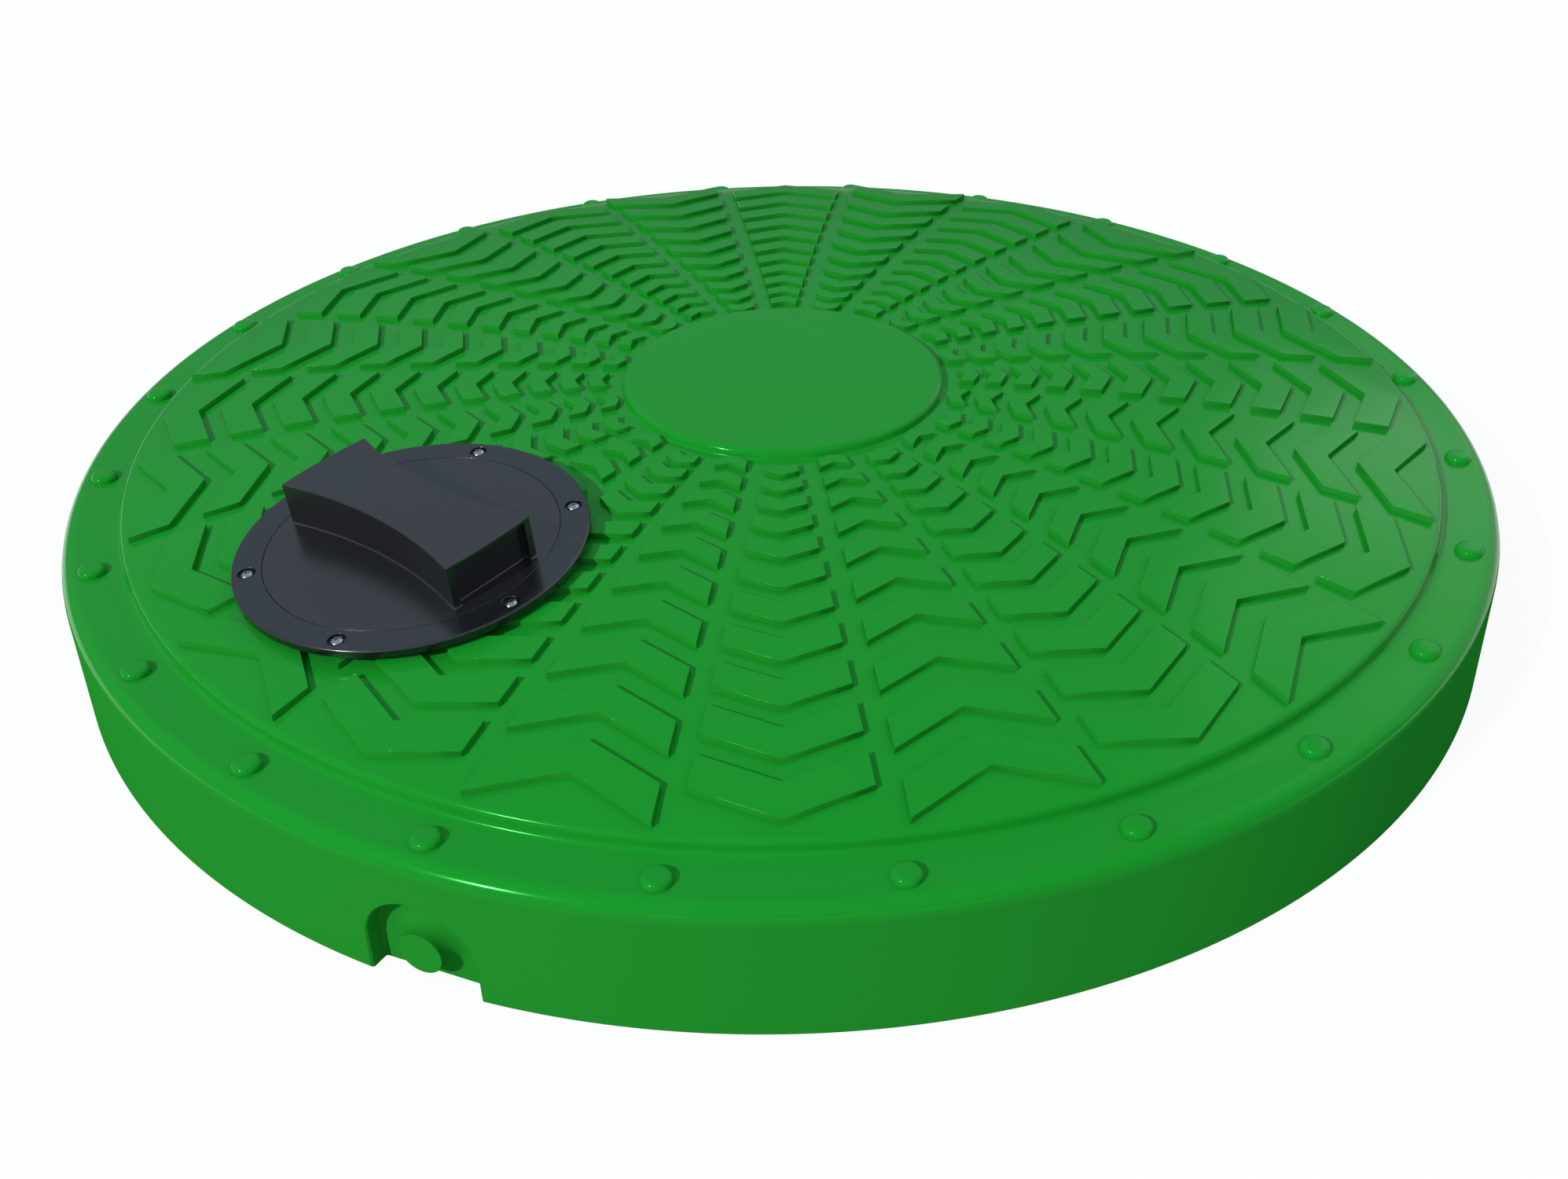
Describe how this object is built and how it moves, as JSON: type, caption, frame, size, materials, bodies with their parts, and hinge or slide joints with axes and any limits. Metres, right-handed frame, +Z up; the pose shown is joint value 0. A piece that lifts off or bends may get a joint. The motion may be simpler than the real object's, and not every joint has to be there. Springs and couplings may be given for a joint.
{
  "type": "tank cover",
  "caption": "Round moulded tank cover with a crowned anti-slip tread, a deep skirt with a fixing recess, and a screw-in inspection hatch with a waisted grip.",
  "frame": {"origin": "centre of the foot of the skirt, on the surface that the cover stands on", "axes": "+Z up along the cover's axis, X and Y across it; azimuths run counter-clockwise from +X, with the hatch at 223.5 degrees and the skirt recess at 248.2 degrees"},
  "size_m": [1.0031, 1.0031, 0.1573],
  "materials": {
    "green_shell": "moulded polyethylene, soft gloss",
    "hatch_black": "moulded polypropylene, satin",
    "gasket_foam": "closed-cell foam",
    "seal_rubber": "smooth rubber",
    "fastener_steel": "bright zinc"
  },
  "bodies": {
    "cover": {"cover_shell": "green_shell", "hatch_gasket": "gasket_foam", "hatch_ring": "hatch_black", "hatch_screw_1": "fastener_steel", "hatch_screw_2": "fastener_steel", "hatch_screw_3": "fastener_steel", "hatch_screw_4": "fastener_steel", "hatch_screw_5": "fastener_steel", "hatch_screw_6": "fastener_steel", "hatch_washer_1": "fastener_steel", "hatch_washer_2": "fastener_steel", "hatch_washer_3": "fastener_steel", "hatch_washer_4": "fastener_steel", "hatch_washer_5": "fastener_steel", "hatch_washer_6": "fastener_steel", "hatch_nut_1": "fastener_steel", "hatch_nut_2": "fastener_steel", "hatch_nut_3": "fastener_steel", "hatch_nut_4": "fastener_steel", "hatch_nut_5": "fastener_steel", "hatch_nut_6": "fastener_steel"},
    "lid_rise_seal": {"hatch_seal": "seal_rubber"},
    "lid": {"hatch_lid": "hatch_black"}
  },
  "joints": [
    {"name": "lid_rise", "type": "slide", "parent": "cover", "child": "lid_rise_seal", "axis": [-0.0608, -0.0577, 0.9965], "range_m": [0, 0.009]},
    {"name": "lid_turn", "type": "hinge", "parent": "lid_rise_seal", "child": "lid", "pos_m": [-0.22536, -0.21386, 0.12506], "axis": [-0.0608, -0.0577, 0.9965], "range_deg": [0, 540]}
  ],
  "couplings": [
    {"joint": "lid_rise", "follows": "lid_turn", "m_per_rad": 0.00095493}
  ]
}
